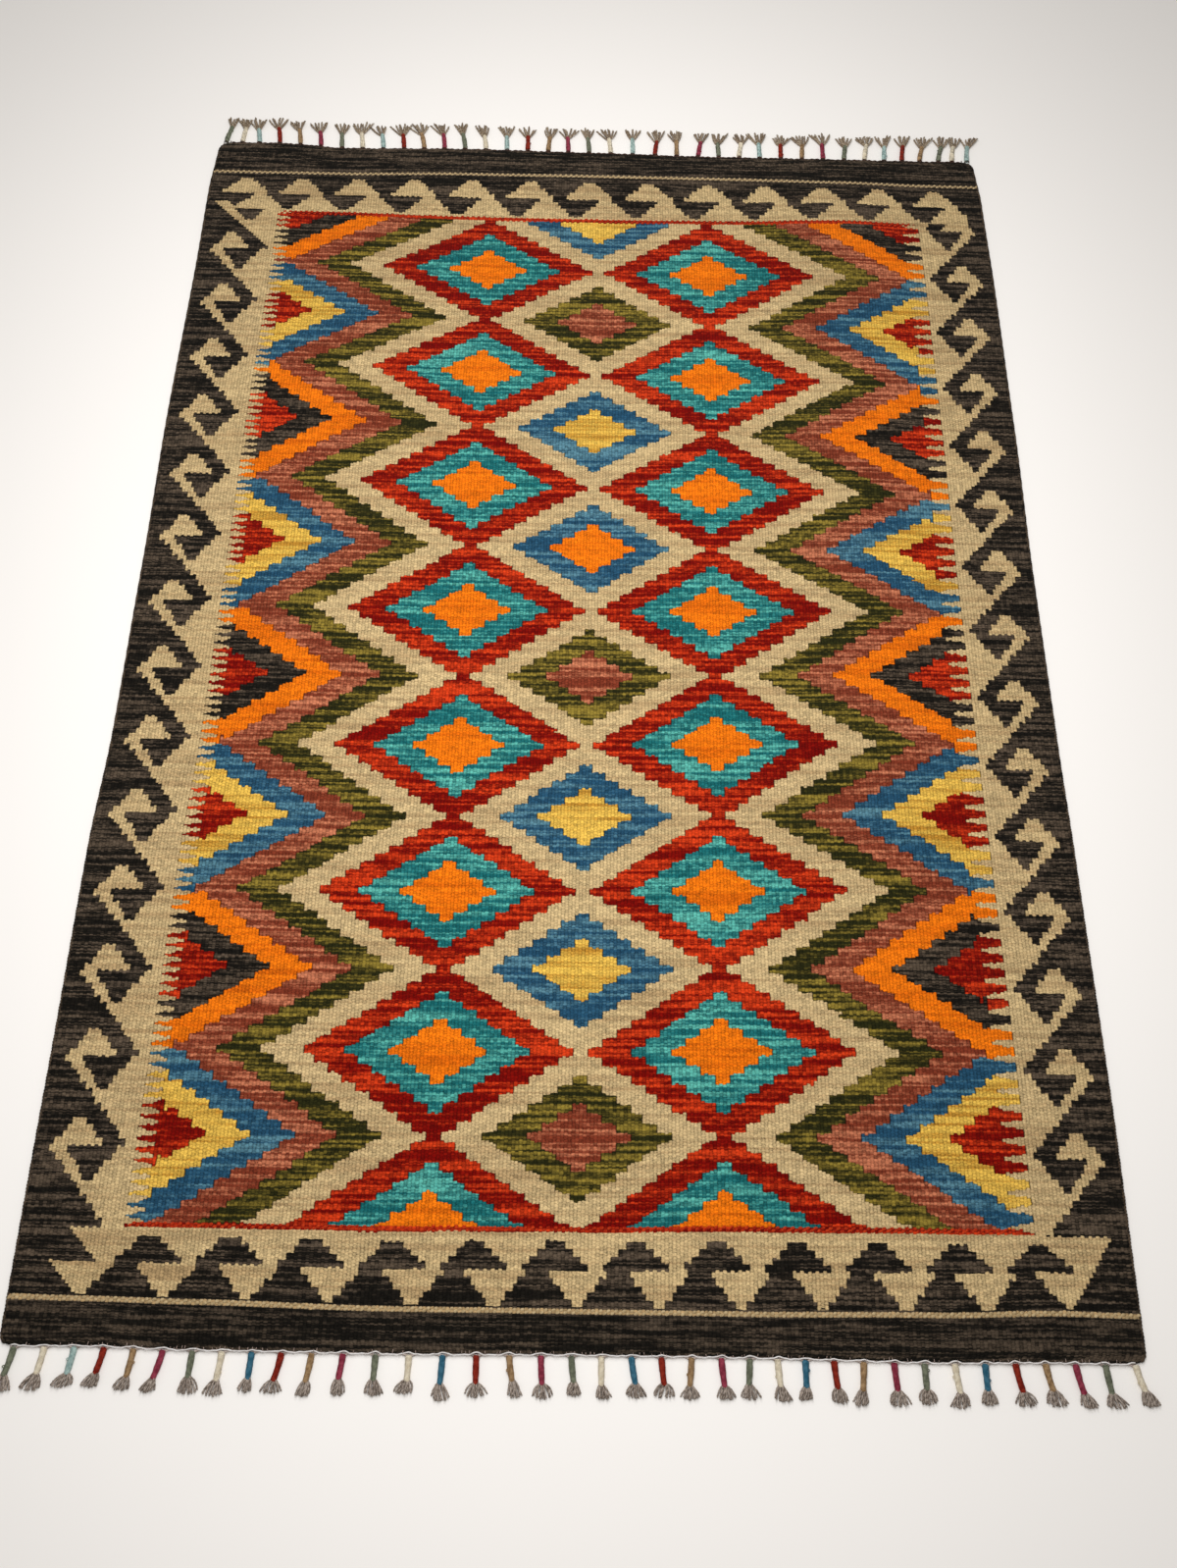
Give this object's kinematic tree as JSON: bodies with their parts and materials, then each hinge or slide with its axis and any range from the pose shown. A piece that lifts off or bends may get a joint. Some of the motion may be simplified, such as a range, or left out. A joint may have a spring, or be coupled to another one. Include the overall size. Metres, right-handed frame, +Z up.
{
  "type": "kilim rug",
  "caption": "Flat-woven wool rug with stepped diamonds, zigzag side bands and hooked borders, with wrapped tassels along both ends; it lies flat on a floor.",
  "frame": {"origin": "middle of the cloth's underside, on the floor", "axes": "+X across the width, to the right as the picture shows it; +Y along the warps, from the near end to the far end; +Z up"},
  "size_m": [1.2248, 1.9151, 0.006],
  "materials": {
    "woven_wool": "matt ribbed weft-faced wool",
    "fringe_yarn": "matt wrapped and plied wool yarn"
  },
  "bodies": {
    "root": {"rug_cloth": "woven_wool", "front_fringe": "fringe_yarn", "back_fringe": "fringe_yarn"}
  },
  "joints": []
}
